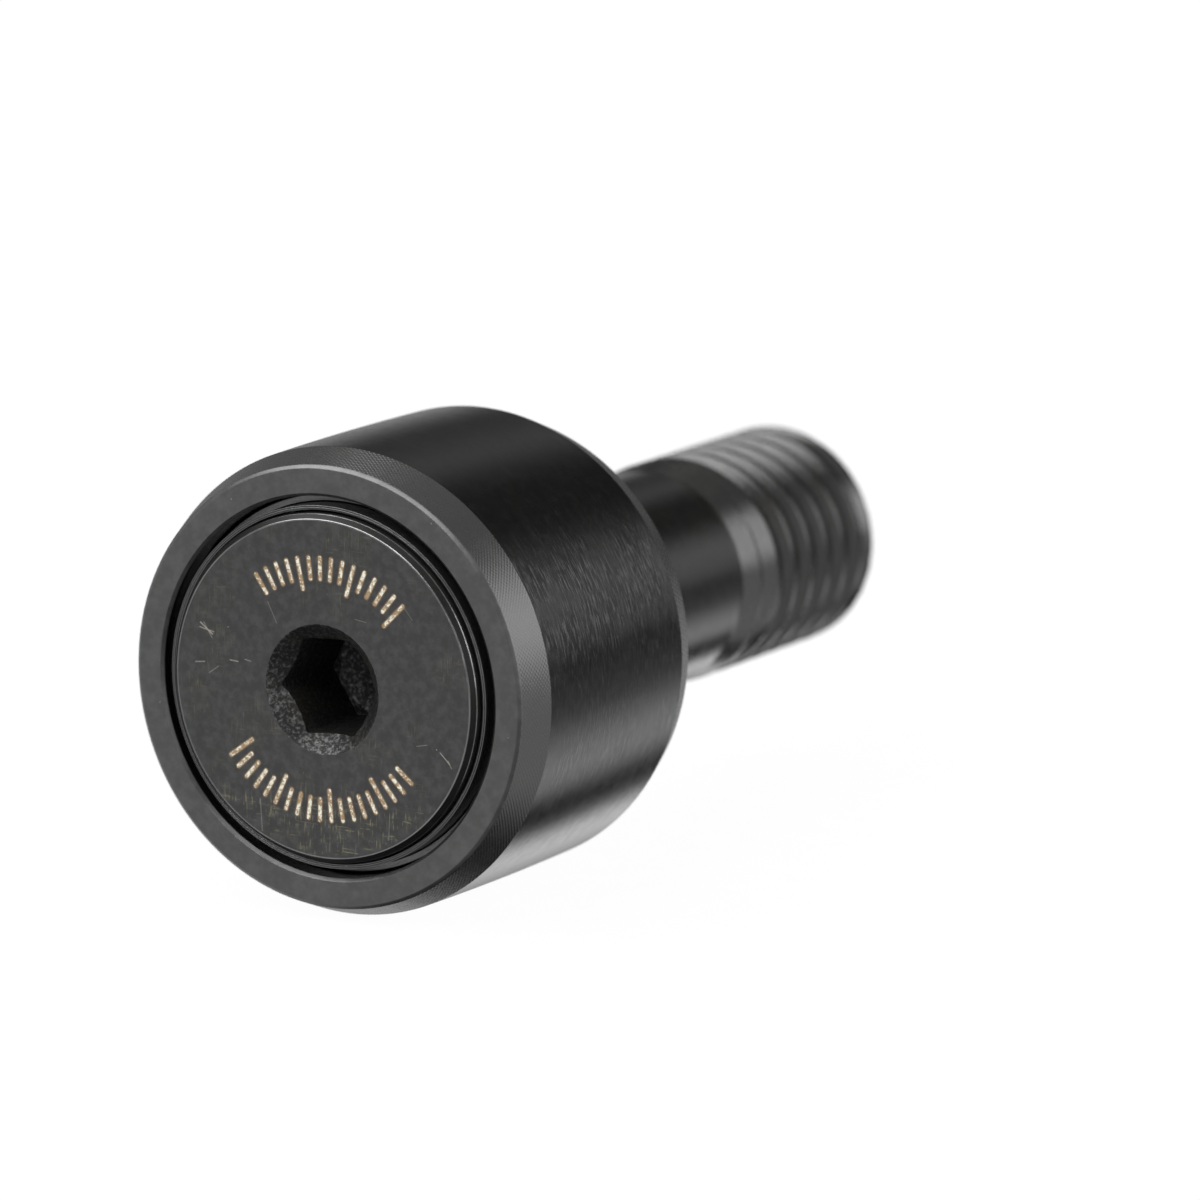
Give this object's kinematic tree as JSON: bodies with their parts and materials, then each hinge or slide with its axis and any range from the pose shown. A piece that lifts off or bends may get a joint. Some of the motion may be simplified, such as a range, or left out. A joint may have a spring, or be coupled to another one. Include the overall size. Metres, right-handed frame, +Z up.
{
  "type": "stud-type cam follower",
  "caption": "Small stud-type cam follower: crowned sealed roller running on needle rollers round a flanged stud with a hex socket, a reduced neck and a threaded end, black oxide finish.",
  "frame": {"origin": "centre of the flat face at the stud's threaded end", "axes": "+Y along the stud's axis and out of its threaded end, +Z up, the roller at negative Y with its flanged face towards -Y"},
  "size_m": [0.0158, 0.0308, 0.0158],
  "materials": {
    "stud_steel": "black oxide, ground",
    "roller_steel": "black oxide, fine ground rolling face",
    "plate_steel": "black oxide",
    "seal_polymer": "moulded, slightly oily",
    "needle_steel": "ground and lapped"
  },
  "bodies": {
    "stud_assembly": {"stud": "stud_steel", "rear_end_plate": "plate_steel"},
    "roller": {"outer_ring": "roller_steel", "front_seal_disc": "seal_polymer", "rear_seal_disc": "seal_polymer"},
    "needle_set": {"needle_roller_01": "needle_steel"},
    "needle_02": {"needle_roller_02": "needle_steel"},
    "needle_03": {"needle_roller_03": "needle_steel"},
    "needle_04": {"needle_roller_04": "needle_steel"},
    "needle_05": {"needle_roller_05": "needle_steel"},
    "needle_06": {"needle_roller_06": "needle_steel"},
    "needle_07": {"needle_roller_07": "needle_steel"},
    "needle_08": {"needle_roller_08": "needle_steel"},
    "needle_09": {"needle_roller_09": "needle_steel"},
    "needle_10": {"needle_roller_10": "needle_steel"},
    "needle_11": {"needle_roller_11": "needle_steel"},
    "needle_12": {"needle_roller_12": "needle_steel"},
    "needle_13": {"needle_roller_13": "needle_steel"},
    "needle_14": {"needle_roller_14": "needle_steel"},
    "needle_15": {"needle_roller_15": "needle_steel"},
    "needle_16": {"needle_roller_16": "needle_steel"},
    "needle_17": {"needle_roller_17": "needle_steel"},
    "needle_18": {"needle_roller_18": "needle_steel"},
    "needle_19": {"needle_roller_19": "needle_steel"}
  },
  "joints": [
    {"name": "roller_spin", "type": "hinge", "parent": "stud_assembly", "child": "roller", "pos_m": [0, -0.025, 0], "axis": [0, 1, 0], "continuous": true},
    {"name": "needle_orbit", "type": "hinge", "parent": "stud_assembly", "child": "needle_set", "pos_m": [0, -0.025, 0], "axis": [0, 1, 0], "continuous": true},
    {"name": "needle_02_spin", "type": "hinge", "parent": "needle_set", "child": "needle_02", "pos_m": [0.00465, -0.025, -0.0016], "axis": [0, 1, 0], "continuous": true},
    {"name": "needle_03_spin", "type": "hinge", "parent": "needle_set", "child": "needle_03", "pos_m": [0.00388, -0.025, -0.00302], "axis": [0, 1, 0], "continuous": true},
    {"name": "needle_04_spin", "type": "hinge", "parent": "needle_set", "child": "needle_04", "pos_m": [0.00269, -0.025, -0.00412], "axis": [0, 1, 0], "continuous": true},
    {"name": "needle_05_spin", "type": "hinge", "parent": "needle_set", "child": "needle_05", "pos_m": [0.00121, -0.025, -0.00477], "axis": [0, 1, 0], "continuous": true},
    {"name": "needle_06_spin", "type": "hinge", "parent": "needle_set", "child": "needle_06", "pos_m": [-0.00041, -0.025, -0.0049], "axis": [0, 1, 0], "continuous": true},
    {"name": "needle_07_spin", "type": "hinge", "parent": "needle_set", "child": "needle_07", "pos_m": [-0.00198, -0.025, -0.00451], "axis": [0, 1, 0], "continuous": true},
    {"name": "needle_08_spin", "type": "hinge", "parent": "needle_set", "child": "needle_08", "pos_m": [-0.00333, -0.025, -0.00362], "axis": [0, 1, 0], "continuous": true},
    {"name": "needle_09_spin", "type": "hinge", "parent": "needle_set", "child": "needle_09", "pos_m": [-0.00433, -0.025, -0.00234], "axis": [0, 1, 0], "continuous": true},
    {"name": "needle_10_spin", "type": "hinge", "parent": "needle_set", "child": "needle_10", "pos_m": [-0.00485, -0.025, -0.00081], "axis": [0, 1, 0], "continuous": true},
    {"name": "needle_11_spin", "type": "hinge", "parent": "needle_set", "child": "needle_11", "pos_m": [-0.00485, -0.025, 0.00081], "axis": [0, 1, 0], "continuous": true},
    {"name": "needle_12_spin", "type": "hinge", "parent": "needle_set", "child": "needle_12", "pos_m": [-0.00433, -0.025, 0.00234], "axis": [0, 1, 0], "continuous": true},
    {"name": "needle_13_spin", "type": "hinge", "parent": "needle_set", "child": "needle_13", "pos_m": [-0.00333, -0.025, 0.00362], "axis": [0, 1, 0], "continuous": true},
    {"name": "needle_14_spin", "type": "hinge", "parent": "needle_set", "child": "needle_14", "pos_m": [-0.00198, -0.025, 0.00451], "axis": [0, 1, 0], "continuous": true},
    {"name": "needle_15_spin", "type": "hinge", "parent": "needle_set", "child": "needle_15", "pos_m": [-0.00041, -0.025, 0.0049], "axis": [0, 1, 0], "continuous": true},
    {"name": "needle_16_spin", "type": "hinge", "parent": "needle_set", "child": "needle_16", "pos_m": [0.00121, -0.025, 0.00477], "axis": [0, 1, 0], "continuous": true},
    {"name": "needle_17_spin", "type": "hinge", "parent": "needle_set", "child": "needle_17", "pos_m": [0.00269, -0.025, 0.00412], "axis": [0, 1, 0], "continuous": true},
    {"name": "needle_18_spin", "type": "hinge", "parent": "needle_set", "child": "needle_18", "pos_m": [0.00388, -0.025, 0.00302], "axis": [0, 1, 0], "continuous": true},
    {"name": "needle_19_spin", "type": "hinge", "parent": "needle_set", "child": "needle_19", "pos_m": [0.00465, -0.025, 0.0016], "axis": [0, 1, 0], "continuous": true}
  ],
  "couplings": [
    {"joint": "needle_orbit", "follows": "roller_spin", "ratio": 0.58064},
    {"joint": "needle_02_spin", "follows": "roller_spin", "ratio": 3.0194},
    {"joint": "needle_03_spin", "follows": "roller_spin", "ratio": 3.0194},
    {"joint": "needle_04_spin", "follows": "roller_spin", "ratio": 3.0194},
    {"joint": "needle_05_spin", "follows": "roller_spin", "ratio": 3.0194},
    {"joint": "needle_06_spin", "follows": "roller_spin", "ratio": 3.0194},
    {"joint": "needle_07_spin", "follows": "roller_spin", "ratio": 3.0194},
    {"joint": "needle_08_spin", "follows": "roller_spin", "ratio": 3.0194},
    {"joint": "needle_09_spin", "follows": "roller_spin", "ratio": 3.0194},
    {"joint": "needle_10_spin", "follows": "roller_spin", "ratio": 3.0194},
    {"joint": "needle_11_spin", "follows": "roller_spin", "ratio": 3.0194},
    {"joint": "needle_12_spin", "follows": "roller_spin", "ratio": 3.0194},
    {"joint": "needle_13_spin", "follows": "roller_spin", "ratio": 3.0194},
    {"joint": "needle_14_spin", "follows": "roller_spin", "ratio": 3.0194},
    {"joint": "needle_15_spin", "follows": "roller_spin", "ratio": 3.0194},
    {"joint": "needle_16_spin", "follows": "roller_spin", "ratio": 3.0194},
    {"joint": "needle_17_spin", "follows": "roller_spin", "ratio": 3.0194},
    {"joint": "needle_18_spin", "follows": "roller_spin", "ratio": 3.0194},
    {"joint": "needle_19_spin", "follows": "roller_spin", "ratio": 3.0194}
  ]
}
